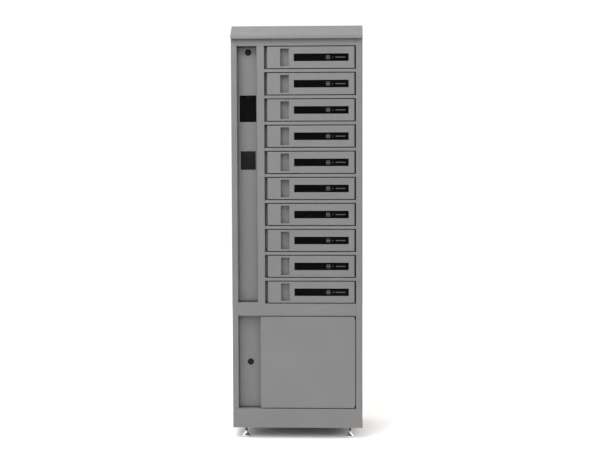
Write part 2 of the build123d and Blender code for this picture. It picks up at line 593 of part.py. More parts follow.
def make_display_and_reader():
    """The display's glass lies just under the panel's face; the contactless reader stands 1 mm proud."""
    behind = PANEL_FACE + SHEET
    fit = 0.4
    with BuildPart() as display_module:
        glass = (SCREEN_SIZE[0] - fit, SCREEN_SIZE[1] - fit)
        cut_in_front(CONTROLS_X, SCREEN_Z, PANEL_FACE + 0.4, glass, SHEET - 0.4)
        cut_in_front(CONTROLS_X, SCREEN_Z, behind, (59.6, 108), 8.5)
    save(display_module.part, "display_module")

    with BuildPart() as card_reader:
        face = (READER_SIZE[0] - fit, READER_SIZE[1] - fit)
        cut_in_front(CONTROLS_X, READER_Z, PANEL_FACE - 1.0, face, SHEET + 1.0)
        fillet(card_reader.faces().sort_by(Axis.Y)[0].edges(), radius=0.8)
        cut_in_front(CONTROLS_X, READER_Z, behind, (59.6, 74), 5)
        cut_in_front(CONTROLS_X, READER_Z, behind + 5, (48, 60), 15)
    save(card_reader.part, "card_reader")


def make_cam_lock(place, reach, towards, housing_name, plug_name):
    """A cam lock on a sunk face: a nutted housing, and the plug with its keyway and cam arm."""
    x, z = place
    arm_plane = PANEL_FACE + 18.0
    arm_width = 14.0

    def round_run(radius, start, end, mode=Mode.ADD):
        with Locations(Location((x, (start + end) / 2, z), (90, 0, 0))):
            Cylinder(radius, end - start, mode=mode)

    with BuildPart() as housing:
        round_run(11.0, PANEL_FACE - 2.5, PANEL_FACE)
        chamfer(housing.faces().sort_by(Axis.Y)[0].edges(), length=1.2)
        round_run(9.0, PANEL_FACE, PANEL_FACE + 17)
        with BuildSketch(FACING_USER.offset(-(PANEL_FACE + SHEET))):
            with Locations((x, z)):
                RegularPolygon(12.5, 6, major_radius=False)
        extrude(amount=-5)
        round_run(6.1, PANEL_FACE - 3, PANEL_FACE + 17, Mode.SUBTRACT)
    save(housing.part, housing_name)

    with BuildPart() as plug:
        round_run(6.0, PANEL_FACE - 2.8, arm_plane)
        slab((x - 0.7, x + 0.7), (PANEL_FACE - 3, PANEL_FACE + 5), (z - 4, z + 4), Mode.SUBTRACT)
        with BuildSketch(FACING_USER.offset(-arm_plane)):
            with Locations((x, z)):
                Circle(arm_width / 2)
            with Locations((x + towards[0] * reach / 2, z + towards[1] * reach / 2)):
                Rectangle(*(reach if along else arm_width for along in towards))
        extrude(amount=-2.0)
        round_run(4.0, arm_plane + 2.0, arm_plane + 5.0)
    save(plug.part, plug_name)


# ------------------------------------------------------------------ electrical parts
def make_power_supply():
    """Enclosed supply on the floor of the lower cabinet, with a terminal shelf at its left end."""
    x, y, z = (-25.0, 190.0), (50.0, 165.0), (PLINTH_TOP, PLINTH_TOP + 50)
    with BuildPart() as power_supply:
        slab(x, y, z)
        chamfer(edges_along(power_supply, Axis.X, Z=z[1]), length=1.0)
        slab((x[0] - 1, x[0] + 18), (y[0] - 1, y[1] + 1), (z[0] + 22, z[1] + 1), Mode.SUBTRACT)
        with Locations((x[0] + 9, (y[0] + y[1]) / 2, z[0] + 22 + 5)):
            with GridLocations(1, 11, 1, 8):
                Box(12, 9.4, 10)
        with BuildSketch(Plane.XY.offset(z[1])):
            with Locations(((x[0] + x[1]) / 2 + 9, (y[0] + y[1]) / 2)):
                with GridLocations(11, 11, 14, 7):
                    Circle(3)
        extrude(amount=-1.2, mode=Mode.SUBTRACT)
    save(power_supply.part, "power_supply")


def make_controller_board():
    """Control board on stand-offs, on the column side of the partition."""
    wall = BAYS_LEFT - SHEET
    y, z = (-95.0, 15.0), (900.0, 1060.0)
    with BuildPart() as controller_board:
        slab((wall - 9.6, wall - 8), y, z)
        for corner_y in (y[0] + 6, y[1] - 6):
            for corner_z in (z[0] + 6, z[1] - 6):
                slab((wall - 8, wall), (corner_y - 3, corner_y + 3), (corner_z - 3, corner_z + 3))
        for step in range(BAY_COUNT):
            block_z = z[0] + 12 + step * 14.5
            slab((wall - 20, wall - 9.6), (y[0] + 2, y[0] + 14), (block_z, block_z + 11))
        slab((wall - 12, wall - 9.6), (-45, -21), (968, 992))
        slab((wall - 22, wall - 9.6), (-14, 6), (915, 945))
    save(controller_board.part, "controller_board")


def make_mains_inlet():
    """Panel inlet for a mains lead, beside its fuse drawer."""
    outer = REAR_PANEL + SHEET
    with BuildPart() as mains_inlet:
        slab((INLET_X - 30, INLET_X + 30), (outer, outer + 2), (INLET_Z - 17, INLET_Z + 17))
        slab((INLET_X - 24, INLET_X + 24), (outer - 26, outer), (INLET_Z - 14, INLET_Z + 14))
        with BuildSketch(FACING_USER.offset(-(outer + 2))):
            with Locations((INLET_X + 8.5, INLET_Z)):
                RectangleRounded(24.5, 16.8, 2.5)
        extrude(amount=15, mode=Mode.SUBTRACT)
        with BuildSketch(FACING_USER.offset(-(outer + 2))):
            with Locations((INLET_X - 15, INLET_Z)):
                RectangleRounded(13, 22, 1)
        extrude(amount=1.2, mode=Mode.SUBTRACT)
    save(mains_inlet.part, "mains_inlet")


def main():
    make_left_side()
    make_right_side()
    make_top_rail()
    make_mullion()
    make_mid_rail()
    make_base_plinth()
    make_roof_and_cap()
    make_rear_panel()
    make_interior_walls()
    make_bay_shelves()
    make_hinge_pins()
    make_feet()
    make_rear_screws()
    make_lock_housings()
    make_charge_sockets()
    for number, sill in enumerate(BAY_SILLS, start=1):
        make_bay_door(number, sill)
        make_bay_window(number, sill)
        make_bay_bolt(number, sill)
    make_lower_door()
    make_service_panel()
    make_display_and_reader()
    make_cam_lock(PANEL_LOCK, 32.0, (0, -1), "service_lock_housing", "service_lock_plug")
    make_cam_lock(LOWER_LOCK, 40.0, (0, -1), "lower_lock_housing", "lower_lock_plug")
    make_power_supply()
    make_controller_board()
    make_mains_inlet()


main()
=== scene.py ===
"""Looks for the phone charging kiosk: finishes for the steelwork, glass, locks and feet, and the small
printed and turned details that ride on them. Metres, in the CAD model's own frame."""

import json
import math

import bmesh
import bpy
from mathutils import Matrix, Vector


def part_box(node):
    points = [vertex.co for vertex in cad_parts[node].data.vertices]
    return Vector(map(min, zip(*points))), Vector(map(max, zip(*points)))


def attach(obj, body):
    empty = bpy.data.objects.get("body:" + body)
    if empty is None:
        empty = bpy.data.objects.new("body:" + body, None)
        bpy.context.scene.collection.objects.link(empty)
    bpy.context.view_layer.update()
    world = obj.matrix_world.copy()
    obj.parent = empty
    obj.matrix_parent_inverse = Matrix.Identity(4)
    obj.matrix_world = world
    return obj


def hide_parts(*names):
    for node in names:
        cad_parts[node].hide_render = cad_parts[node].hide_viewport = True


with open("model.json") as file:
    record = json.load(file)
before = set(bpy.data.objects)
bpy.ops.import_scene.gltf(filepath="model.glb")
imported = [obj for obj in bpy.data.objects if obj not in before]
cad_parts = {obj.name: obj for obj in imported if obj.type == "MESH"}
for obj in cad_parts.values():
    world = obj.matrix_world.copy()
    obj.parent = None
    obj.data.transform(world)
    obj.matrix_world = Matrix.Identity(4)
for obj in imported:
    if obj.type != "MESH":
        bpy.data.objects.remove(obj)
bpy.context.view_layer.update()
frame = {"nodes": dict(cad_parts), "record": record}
BAYS = [f"{number:02d}" for number in range(1, 11)]
MM = 0.001


# ------------------------------------------------------------------ materials
def add_node(tree, kind, sockets, **settings):
    """A shader node with its settings made and its sockets filled, by numbers or by other nodes' outputs."""
    node = tree.nodes.new(f"ShaderNode{kind}")
    for setting, value in settings.items():
        setattr(node, setting, value)
    for socket, value in sockets.items():
        if isinstance(value, bpy.types.NodeSocket):
            tree.links.new(value, node.inputs[socket])
        else:
            node.inputs[socket].default_value = value
    return node


def scaled(colour, factor):
    return tuple(channel * factor for channel in colour)


NOISE_SPAN = (0.25, 0.75)  # where nearly all of a noise pattern's values lie
MIX_FACTOR, MIX_FROM, MIX_TO, MIXED = 0, 6, 7, 2  # where the Mix node keeps the sockets that colours use


class Finish:
    """A material built node by node. Patterns are laid out in the piece's own space, so they move with it."""

    def __init__(self, name, colour, **inputs):
        self.material = bpy.data.materials.new(name)
        self.material.use_nodes = True
        self.tree = self.material.node_tree
        self.shader = self.tree.nodes["Principled BSDF"]
        self.shader.inputs["Base Color"].default_value = (*colour, 1)
        self.material.diffuse_color = (*colour, 1)
        for socket, value in inputs.items():
            self.shader.inputs[socket.replace("_", " ")].default_value = value
        self.colour = colour
        self.place = self.add("TexCoord", {}).outputs["Object"]
        self.bumps = None

    def add(self, kind, sockets, **settings):
        return add_node(self.tree, kind, sockets, **settings)

    def stretched(self, scale):
        """The piece's own space, scaled by a factor along each axis."""
        return self.add("Mapping", {"Vector": self.place, "Scale": scale}).outputs["Vector"]

    def noise(self, scale, detail=2.0, roughness=0.5, place=None):
        sockets = {"Vector": place or self.place, "Scale": scale, "Detail": detail, "Roughness": roughness}
        return self.add("TexNoise", sockets).outputs["Fac"]

    def cells(self, scale):
        return self.add("TexVoronoi", {"Vector": self.place, "Scale": scale}).outputs["Distance"]

    def remap(self, value, low, high, to_low=0.0, to_high=1.0):
        """Takes low to to_low and high to to_high, smoothly and no further."""
        sockets = {"Value": value, "From Min": low, "From Max": high, "To Min": to_low, "To Max": to_high}
        return self.add("MapRange", sockets, interpolation_type="SMOOTHSTEP").outputs["Result"]

    def times(self, a, b):
        return self.add("Math", {0: a, 1: b}, operation="MULTIPLY").outputs["Value"]

    def tint(self, amount, colour):
        """Turns the base colour towards another one by an amount that varies over the surface."""
        base = self.shader.inputs["Base Color"]
        before = base.links[0].from_socket if base.is_linked else (*self.colour, 1)
        sockets = {MIX_FACTOR: amount, MIX_FROM: before, MIX_TO: (*colour, 1)}
        self.tree.links.new(self.add("Mix", sockets, data_type="RGBA").outputs[MIXED], base)

    def shade(self, value, low, high):
        """Multiplies the plain base colour by a factor from low to high, before any tint."""
        light = scaled(self.colour, high)
        self.colour = scaled(self.colour, low)
        self.tint(self.remap(value, *NOISE_SPAN), light)

    def rough(self, value, low, high):
        roughness = self.remap(value, *NOISE_SPAN, low, high)
        self.tree.links.new(roughness, self.shader.inputs["Roughness"])

    def edges(self, radius):
        """1 along the piece's outer corners, falling to 0 on flat faces."""
        rounded = self.add("Bevel", {"Radius": radius}, samples=6).outputs["Normal"]
        flat = self.add("NewGeometry", {}).outputs["True Normal"]
        along = self.add("VectorMath", {0: rounded, 1: flat}, operation="DOT_PRODUCT").outputs["Value"]
        on_flat, on_corner = 0.995, 0.86  # cosines of the angle by which the bevel turns the normal
        return self.remap(along, on_flat, on_corner)

    def facing_up(self, low, high):
        """1 where the surface faces upwards, 0 where it stands."""
        normal = self.add("NewGeometry", {}).outputs["True Normal"]
        return self.remap(self.add("SeparateXYZ", {"Vector": normal}).outputs["Z"], low, high)

    def low_down(self, top, bottom):
        """0 from the height top upwards, rising to 1 at the height bottom."""
        return self.remap(self.add("SeparateXYZ", {"Vector": self.place}).outputs["Z"], top, bottom)

    def bump(self, height, distance):
        """Adds a relief of that depth to the ones before it."""
        sockets = {"Height": height, "Distance": distance}
        if self.bumps:
            sockets["Normal"] = self.bumps
        self.bumps = self.add("Bump", sockets).outputs["Normal"]
        self.tree.links.new(self.bumps, self.shader.inputs["Normal"])


def powder_coat(name, colour, texture=1.0, grime=0.0):
    """Satin powder coat: a fine pebbled skin over faint mottling, its corners painted lighter as rubbing wear
    and as a painted highlight where the folds catch light, dusty on top, with more grime low down."""
    coat = Finish(name, colour, Specular_IOR_Level=0.42)
    coat.shade(coat.noise(7.0, 4.0, 0.6), 0.965, 1.03)
    # corners painted lighter: partly rubbing wear, partly a painted highlight where the folded edges catch
    # light
    lighter_corners = coat.times(coat.edges(1.1 * MM), coat.remap(coat.noise(55.0, 4.0, 0.7), 0.42, 0.62))
    coat.tint(coat.times(lighter_corners, 0.30), scaled(colour, 1.5))
    settled = coat.times(coat.facing_up(0.7, 0.98), coat.remap(coat.noise(30.0, 5.0, 0.7), 0.3, 0.7))
    coat.tint(coat.times(settled, 0.22), (0.27, 0.26, 0.24))
    speck = coat.noise(1400.0, 2.0, 0.7)
    coat.tint(coat.remap(speck, 0.58, 0.74, 0.0, 0.14), scaled(colour, 1.35))
    coat.tint(coat.remap(speck, 0.42, 0.30, 0.0, 0.16), scaled(colour, 0.6))
    dusty = coat.times(coat.low_down(0.16, 0.03), coat.remap(coat.noise(22.0, 5.0, 0.65), 0.35, 0.75))
    coat.tint(coat.times(dusty, 0.16 + grime), (0.16, 0.145, 0.125))
    coat.rough(coat.noise(40.0, 4.0, 0.6), 0.46, 0.58)
    coat.bump(coat.noise(420.0, 2.0, 0.5), 0.34 * MM * texture)
    coat.bump(coat.noise(1500.0, 2.0, 0.6), 0.13 * MM * texture)
    return coat


def plated(name, colour, roughness, brushed=None):
    """Plated or ground metal with fine handling marks, brushed along an axis if one is given."""
    metal = Finish(name, colour, Metallic=1.0)
    metal.shade(metal.noise(60.0, 3.0, 0.6), 0.94, 1.03)
    metal.rough(metal.noise(180.0, 4.0, 0.65), roughness * 0.8, roughness * 1.25)
    if brushed:
        scale = tuple(40.0 if axis == brushed else 2500.0 for axis in "XYZ")
        metal.bump(metal.noise(1.0, 2.0, 0.6, metal.stretched(scale)), 0.02 * MM)
    else:
        metal.bump(metal.noise(700.0, 2.0, 0.6), 0.01 * MM)
    return metal


def moulded(name, colour, low=0.42, high=0.6, grain=0.06 * MM, shine=0.45):
    """Moulded plastic with a spark-eroded grain, its roughness between low and high."""
    plastic = Finish(name, colour, Specular_IOR_Level=shine)
    plastic.shade(plastic.noise(30.0, 3.0), 0.92, 1.08)
    plastic.rough(plastic.noise(90.0, 3.0), low, high)
    plastic.bump(plastic.cells(1700.0), grain)
    return plastic


def blackened(name, colour):
    """Black-plated die casting, rubbed to a duller grey at its corners by keys and fingers."""
    metal = Finish(name, colour, Specular_IOR_Level=0.16)
    metal.shade(metal.noise(120.0, 3.0), 0.8, 1.2)
    lighter_corners = metal.times(metal.edges(0.5 * MM), metal.remap(metal.noise(260.0, 3.0), 0.4, 0.6))
    metal.tint(metal.times(lighter_corners, 0.35), (0.06, 0.058, 0.055))
    metal.rough(metal.noise(300.0, 3.0), 0.26, 0.40)
    metal.bump(metal.noise(1200.0, 2.0), 0.02 * MM)
    return metal


def glossy_sheet(name, colour):
    """Polished acrylic or glass over black: near-mirror smooth, with faint wipe marks and dust."""
    sheet = Finish(name, colour, IOR=1.49)
    sheet.shade(sheet.noise(15.0, 2.0), 0.9, 1.1)
    wipes = sheet.noise(1.0, 4.0, 0.6, sheet.stretched((9.0, 9.0, 70.0)))
    sheet.rough(wipes, 0.035, 0.10)
    dust = sheet.remap(sheet.noise(2600.0, 1.0), 0.74, 0.80, 0.0, 0.25)
    sheet.tint(dust, (0.22, 0.22, 0.21))
    sheet.bump(sheet.noise(9.0, 1.0), 0.08 * MM)
    return sheet


def ink(name, colour):
    """Matt printing ink of a slightly uneven thickness."""
    print_ink = Finish(name, colour, Roughness=0.6)
    print_ink.shade(print_ink.noise(900.0, 2.0), 0.85, 1.1)
    return print_ink


PAINT_GREY = (0.139, 0.139, 0.142)
finishes = {
    "body_paint": powder_coat("body_paint", PAINT_GREY, grime=0.12),
    "door_paint": powder_coat("door_paint", PAINT_GREY),
    # the cap's grey is a lighter copy of the body's: painted light, for the extra light on its upturned facet
    "cap_paint": powder_coat("cap_paint", (0.151, 0.151, 0.156)),
    "inner_paint": powder_coat("inner_paint", (0.17, 0.17, 0.172), texture=0.7),
    "window_smoke": glossy_sheet("window_smoke", (0.0022, 0.0022, 0.0024)),
    "display_glass": glossy_sheet("display_glass", (0.0028, 0.0028, 0.0030)),
    "reader_plastic": moulded("reader_plastic", (0.0050, 0.0050, 0.0053), 0.30, 0.42, shine=0.16),
    "lock_black": blackened("lock_black", (0.0045, 0.0045, 0.0047)),
    "lock_plug": blackened("lock_plug", (0.0050, 0.0050, 0.0052)),
    "lock_case": moulded("lock_case", (0.008, 0.008, 0.0083), shine=0.2),
    "socket_plastic": moulded("socket_plastic", (0.016, 0.016, 0.017)),
    "supply_case": plated("supply_case", (0.62, 0.62, 0.63), 0.38, brushed="X"),
    "inlet_plastic": moulded("inlet_plastic", (0.014, 0.014, 0.0145), 0.28, 0.4, 0.03 * MM),
    "pin_steel": plated("pin_steel", (0.045, 0.044, 0.043), 0.35, brushed="Z"),
    "zinc_steel": plated("zinc_steel", (0.60, 0.60, 0.59), 0.30),
    "foot_chrome": plated("foot_chrome", (0.78, 0.78, 0.79), 0.10),
    "board": moulded("board", (0.012, 0.075, 0.03), 0.25, 0.4, 0.02 * MM),
}
pale_ink = ink("pale_ink", (0.135, 0.135, 0.14))
dim_ink = ink("dim_ink", (0.062, 0.062, 0.064))
dark_ink = ink("dark_ink", (0.02, 0.02, 0.021))
unlit_picture = glossy_sheet("unlit_picture", (0.0038, 0.0040, 0.0043))
unlit_lamp = glossy_sheet("unlit_lamp", (0.010, 0.022, 0.012))
contact_gold = plated("contact_gold", (0.75, 0.58, 0.30), 0.25)
# dark steel for the feet's studs: painted shade, for the shadow they stand in under the plinth
shaded_stud_steel = plated("shaded_stud_steel", (0.16, 0.16, 0.155), 0.35)

for part in frame["record"]["subparts"]:
    mesh = frame["nodes"][part["node"]].data
    mesh.materials.clear()
    mesh.materials.append(finishes[part["material_slot"]].material)


# ------------------------------------------------------------------ small meshes
def around(middle, width):
    """The two ends of a width in millimetres about its middle in metres."""
    return middle - width * MM / 2, middle + width * MM / 2


def rounded_outline(middle, size, radius, steps=5):
    """Points round a rectangle with rounded corners, anticlockwise in the XZ plane as the user sees it. Its
    middle is in metres, its size and radius in millimetres."""
    width, height, radius = size[0] * MM, size[1] * MM, radius * MM
    points = []
    for turn, (side_x, side_z) in enumerate(((1, 1), (-1, 1), (-1, -1), (1, -1))):
        corner = (middle[0] + side_x * (width / 2 - radius), middle[1] + side_z * (height / 2 - radius))
        for step in range(steps + 1):
            angle = math.pi / 2 * (turn + step / steps)
            points.append((corner[0] + radius * math.cos(angle), corner[1] + radius * math.sin(angle)))
    return points


def add_plate(shape, outline, front, back):
    """A flat plate with that outline, from y = front to y = back."""
    near = [shape.verts.new((x, front, z)) for x, z in outline]
    far = [shape.verts.new((x, back, z)) for x, z in outline]
    shape.faces.new(near)
    shape.faces.new(list(reversed(far)))
    for i, vertex in enumerate(near):
        j = (i + 1) % len(near)
        shape.faces.new((near[j], vertex, far[i], far[j]))


def add_ring(shape, outer, inner, front, back):
    """A flat ring between two outlines with the same number of points."""
    near_out, near_in = ([shape.verts.new((x, front, z)) for x, z in outline] for outline in (outer, inner))
    far_out, far_in = ([shape.verts.new((x, back, z)) for x, z in outline] for outline in (outer, inner))
    for i in range(len(outer)):
        j = (i + 1) % len(outer)
        shape.faces.new((near_out[i], near_out[j], near_in[j], near_in[i]))
        shape.faces.new((far_out[j], far_out[i], far_in[i], far_in[j]))
        shape.faces.new((near_out[j], near_out[i], far_out[i], far_out[j]))
        shape.faces.new((near_in[i], near_in[j], far_in[j], far_in[i]))


def add_box(shape, x, y, z):
    """A box from the lower to the upper value of each pair."""
    made = bmesh.ops.create_cube(shape, size=1)["verts"]
    size = Vector((x[1] - x[0], y[1] - y[0], z[1] - z[0]))
    middle = Vector((x[0] + x[1], y[0] + y[1], z[0] + z[1])) / 2
    for vertex in made:
        vertex.co = middle + Vector(a * b for a, b in zip(vertex.co, size))


def add_turning(shape, place, rings, steps=48):
    """A turned shape about a vertical line. Each ring is a height and a radius in millimetres, and whether it
    is hexagonal."""
    loops = []
    for height, radius, hexagonal in rings:
        loop = []
        for step in range(steps):
            angle = 2 * math.pi * step / steps
            reach = radius * MM
            if hexagonal:
                reach *= math.cos(math.pi / 6) / math.cos((angle % (math.pi / 3)) - math.pi / 6)
            over = (place[0] + reach * math.cos(angle), place[1] + reach * math.sin(angle))
            loop.append(shape.verts.new((*over, height * MM)))
        loops.append(loop)
    for low, high in zip(loops, loops[1:]):
        for i in range(steps):
            j = (i + 1) % steps
            shape.faces.new((low[i], low[j], high[j], high[i]))
    shape.faces.new(list(reversed(loops[0])))
    shape.faces.new(loops[-1])


def add_prism(shape, outline, low, high):
    """An upright bar with that outline in the XY plane, anticlockwise from above."""
    under = [shape.verts.new((x, y, low)) for x, y in outline]
    over = [shape.verts.new((x, y, high)) for x, y in outline]
    shape.faces.new(list(reversed(under)))
    shape.faces.new(over)
    for i, vertex in enumerate(under):
        j = (i + 1) % len(under)
        shape.faces.new((vertex, under[j], over[j], over[i]))


NUMERAL_HEIGHT = 0.72  # of a numeral, as a share of its font size


def add_numerals(shape, text, left, base, height, front):
    """Numerals that stand in the XZ plane, with y = front through the middle of their thickness."""
    curve = bpy.data.curves.new("numerals", "FONT")
    curve.body = text
    curve.size = height / NUMERAL_HEIGHT
    curve.extrude = 0.04 * MM
    holder = bpy.data.objects.new("numerals", curve)
    mesh = bpy.data.meshes.new_from_object(holder)
    mesh.transform(Matrix.Translation((left, front, base)) @ Matrix.Rotation(math.pi / 2, 4, "X"))
    shape.from_mesh(mesh)
    bpy.data.objects.remove(holder)
    bpy.data.meshes.remove(mesh)


SHARP_EDGE = math.radians(32)  # the least turn that still shows as an edge on a smooth piece


def piece(name, shape, finish, body, smooth=False):
    """Puts a shape in the scene as a finished piece that rides on a CAD body."""
    mesh = bpy.data.meshes.new(name)
    bmesh.ops.recalc_face_normals(shape, faces=shape.faces)
    shape.to_mesh(mesh)
    shape.free()
    mesh.materials.append(finish.material)
    if smooth:
        mesh.shade_smooth()
        mesh.set_sharp_from_angle(angle=SHARP_EDGE)
    made = bpy.data.objects.new(name, mesh)
    bpy.context.scene.collection.objects.link(made)
    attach(made, body)
    return made


# ------------------------------------------------------------------ pieces on the doors and the body
PRINT_GAP = 0.002 * MM  # between a print and the surface under it


def bay_print(number):
    """A badge with a battery pictogram, the bay's number and a row of charge marks, printed on the window."""
    low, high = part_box(f"bay_window_{number}")
    door, slot_name = f"bay_{number}_door", "window_smoke"
    lap = 4.0 * MM  # of the window behind the door's face
    right, middle = high.x - lap, (low.z + high.z) / 2
    front, back = low.y - 0.05 * MM, low.y - PRINT_GAP
    badge = (right - 72.0 * MM, middle)
    cell = (badge[0] - 0.4 * MM, middle)
    terminal = (badge[0] + 3.9 * MM, middle)
    shape = bmesh.new()
    outer, inner = rounded_outline(badge, (13.0, 13.0), 3.0), rounded_outline(badge, (11.2, 11.2), 2.2)
    add_ring(shape, outer, inner, front, back)
    outer, inner = rounded_outline(cell, (7.4, 4.6), 0.9), rounded_outline(cell, (6.2, 3.4), 0.5)
    add_ring(shape, outer, inner, front, back)
    add_plate(shape, rounded_outline(terminal, (0.9, 2.0), 0.3), front, back)
    for step in (-1, 0, 1):
        place = (cell[0] + step * 1.75 * MM, middle)
        add_plate(shape, rounded_outline(place, (1.1, 2.2), 0.2), front, back)
    piece(f"bay_print_{number}", shape, pale_ink, door)
    shape = bmesh.new()
    for step in range(7):
        place = (right - (43.5 - 5.0 * step) * MM, middle)
        add_plate(shape, rounded_outline(place, (3.4, 3.6), 0.6), front, back)
    height = 6.0 * MM
    add_numerals(shape, str(int(number)), right - 58.5 * MM, middle - height / 2, height, low.y - 0.03 * MM)
    piece(f"bay_marks_{number}", shape, dim_ink, door)


def bay_stops():
    """The strip that each bay door's free edge closes against, seen dimly through the gap beside it."""
    shape = bmesh.new()
    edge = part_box("mullion")[1].x
    for number in BAYS:
        low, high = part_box(f"bay_door_{number}")
        behind = high.y + 4.2 * MM
        along = (low.z - 1.5 * MM, high.z + 1.5 * MM)
        add_box(shape, (edge, edge + 13.0 * MM), (behind, behind + 1.5 * MM), along)
    piece("bay_door_stops", shape, finishes["body_paint"], "carcass")


def cap_seal():
    """The strip that closes the shadow gap under the cap."""
    rail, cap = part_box("top_rail"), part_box("top_cap")
    left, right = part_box("side_panel_left")[0].x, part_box("side_panel_right")[1].x
    across = (left + 3.0 * MM, right - 3.0 * MM)
    shape = bmesh.new()
    add_box(shape, across, (rail[0].y + 1.2 * MM, rail[0].y + 7.0 * MM), (rail[1].z, cap[0].z + 0.5 * MM))
    piece("cap_seal", shape, finishes["inner_paint"], "carcass")


def column_bead():
    """A hollow-faced bead up the corner of the control column; it covers the working gap beside the panel."""
    low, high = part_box("service_panel")
    corner = (low.x - 1.5 * MM, low.y - 0.3 * MM)
    reach = 1.8 * MM
    steps = 7
    outline = [corner, (corner[0] + reach, corner[1])]
    for step in range(1, steps):
        angle = math.pi / 2 * step / steps
        outline.append((corner[0] + reach * (1 - math.sin(angle)), corner[1] - reach * (1 - math.cos(angle))))
    outline.append((corner[0], corner[1] - reach))
    shape = bmesh.new()
    add_prism(shape, list(reversed(outline)), low.z - 2.0 * MM, high.z + 1.5 * MM)
    piece("column_bead", shape, finishes["body_paint"], "carcass")


def lower_door_trim():
    """The bead along the lower door's free edge, and the black bushes in its notched hinge corners."""
    low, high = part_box("lower_door")
    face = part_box("service_panel")[0].y
    shape = bmesh.new()
    along = (low.z + 1.0 * MM, high.z - 1.0 * MM)
    add_box(shape, (low.x - 2.1 * MM, low.x + 0.2 * MM), (face + 0.4 * MM, face + 1.4 * MM), along)
    piece("lower_door_bead", shape, finishes["door_paint"], "lower_door")
    shape = bmesh.new()
    across, deep = (high.x - 3.3 * MM, high.x - 0.1 * MM), (low.y + 1.2 * MM, low.y + 16.0 * MM)
    clear, tall = 0.4 * MM, 8.5 * MM
    for bottom in (low.z + clear, high.z - clear - tall):
        add_box(shape, across, deep, (bottom, bottom + tall))
    piece("lower_door_bushes", shape, finishes["lock_case"], "lower_door")


def levelling_feet():
    """Four turned feet: a flared base with a hexagon for the spanner, and a threaded stud. Each profile is a
    list of heights and radii in millimetres."""
    base_radius = 13.0
    flare = [(0.0, 11.6), (0.35, 12.5), (1.1, base_radius), (3.2, base_radius), (3.9, 12.7), (4.5, 11.9)]
    flare += [(5.0, 11.4), (6.6, 9.9), (8.6, 8.5), (10.8, 7.3), (13.0, 6.3), (14.6, 5.7), (15.0, 5.3)]
    hexagon = [(15.1, 5.4), (15.4, 5.5), (18.6, 5.5), (18.9, 5.4)]
    collar = [(19.0, 4.6), (19.8, 3.6)]
    foot = [(*ring, ring in hexagon) for ring in flare + hexagon + collar]
    root, crest, pitch = 3.3, 4.0, 1.25
    height, top = 19.5, 58.0
    thread = [(height, root)]
    while height < top - pitch:
        thread += [(height + 0.5, crest), (height + 0.75, crest), (height + pitch, root)]
        height += pitch
    stud = [(*ring, False) for ring in thread + [(top, 3.0)]]
    # the studs take the dark steel that paints in the shade under the plinth
    parts = (("turned_feet", foot, finishes["foot_chrome"]), ("foot_studs", stud, shaded_stud_steel))
    low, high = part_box("levelling_feet")
    inset = base_radius * MM
    for name, rings, finish in parts:
        shape = bmesh.new()
        for x in (low.x + inset, high.x - inset):
            for y in (low.y + inset, high.y - inset):
                add_turning(shape, (x, y), rings)
        made = piece(name, shape, finish, "carcass", smooth=True)
        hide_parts("levelling_feet")


def screen_print():
    """The display's unlit picture area behind its black border, with a small light sensor above it."""
    low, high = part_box("display_module")
    x, z = (low.x + high.x) / 2, (low.z + high.z) / 2
    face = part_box("service_panel")[0].y + 0.4 * MM
    front, back = face - 0.06 * MM, face - PRINT_GAP
    shape = bmesh.new()
    add_plate(shape, rounded_outline((x, z - 1.5 * MM), (50.0, 78.0), 0.6), front, back)
    piece("screen_picture", shape, unlit_picture, "service_panel")
    shape = bmesh.new()
    add_plate(shape, rounded_outline((x, z + 41.8 * MM), (2.2, 2.2), 1.0), front, back)
    piece("screen_sensor", shape, dim_ink, "service_panel")


def reader_details():
    """A raised target for the card and a row of four unlit lamps on the contactless reader."""
    low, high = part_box("card_reader")
    x, z = (low.x + high.x) / 2, (low.z + high.z) / 2
    body, slot_name = "service_panel", "reader_plastic"
    sunk = low.y + 0.1 * MM
    line = 1.2
    roundness = 2.6  # widths of a ring to the radius of its corners
    shape = bmesh.new()
    for size in (30.0, 20.0):
        outlines = []
        for width in (size, size - 2 * line):
            outlines.append(rounded_outline((x, z - 5.0 * MM), (width, width), width / roundness, 10))
        add_ring(shape, *outlines, low.y - 0.35 * MM, sunk)
    piece("reader_target", shape, finishes["reader_plastic"], body)
    shape = bmesh.new()
    for step in range(4):
        place = (x + (step - 1.5) * 8.0 * MM, z + 22.0 * MM)
        add_plate(shape, rounded_outline(place, (4.4, 1.8), 0.8), low.y - 0.25 * MM, sunk)
    piece("reader_lamps", shape, unlit_lamp, body)


def socket_tongues():
    """The contact tongue inside each charging socket, two to a module and a module to a bay."""
    low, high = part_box("charge_sockets")
    middle = (low.x + high.x) / 2
    deep = (low.y + 1.0 * MM, low.y + 7.9 * MM)
    half_module = 14.0 * MM
    top, bottom = high.z - half_module, low.z + half_module
    pitch = (top - bottom) / (len(BAYS) - 1)
    shape = bmesh.new()
    for step in range(len(BAYS)):
        for x in around(middle, 22.0):
            add_box(shape, around(x, 6.6), deep, around(top - step * pitch, 0.8))
    piece("socket_tongues", shape, contact_gold, "carcass")


def inlet_pins():
    """Three flat pins standing in the mains inlet, whose socket is beside its fuse drawer."""
    low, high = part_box("mains_inlet")
    x, z = (low.x + high.x) / 2 + 8.5 * MM, (low.z + high.z) / 2
    deep = (high.y - 15.0 * MM, high.y - 2.5 * MM)
    shape = bmesh.new()
    for over, up in ((-7.0, -2.0), (0.0, 2.4), (7.0, -2.0)):
        add_box(shape, around(x + over * MM, 2.0), deep, around(z + up * MM, 4.0))
    piece("inlet_pins", shape, finishes["zinc_steel"], "carcass")


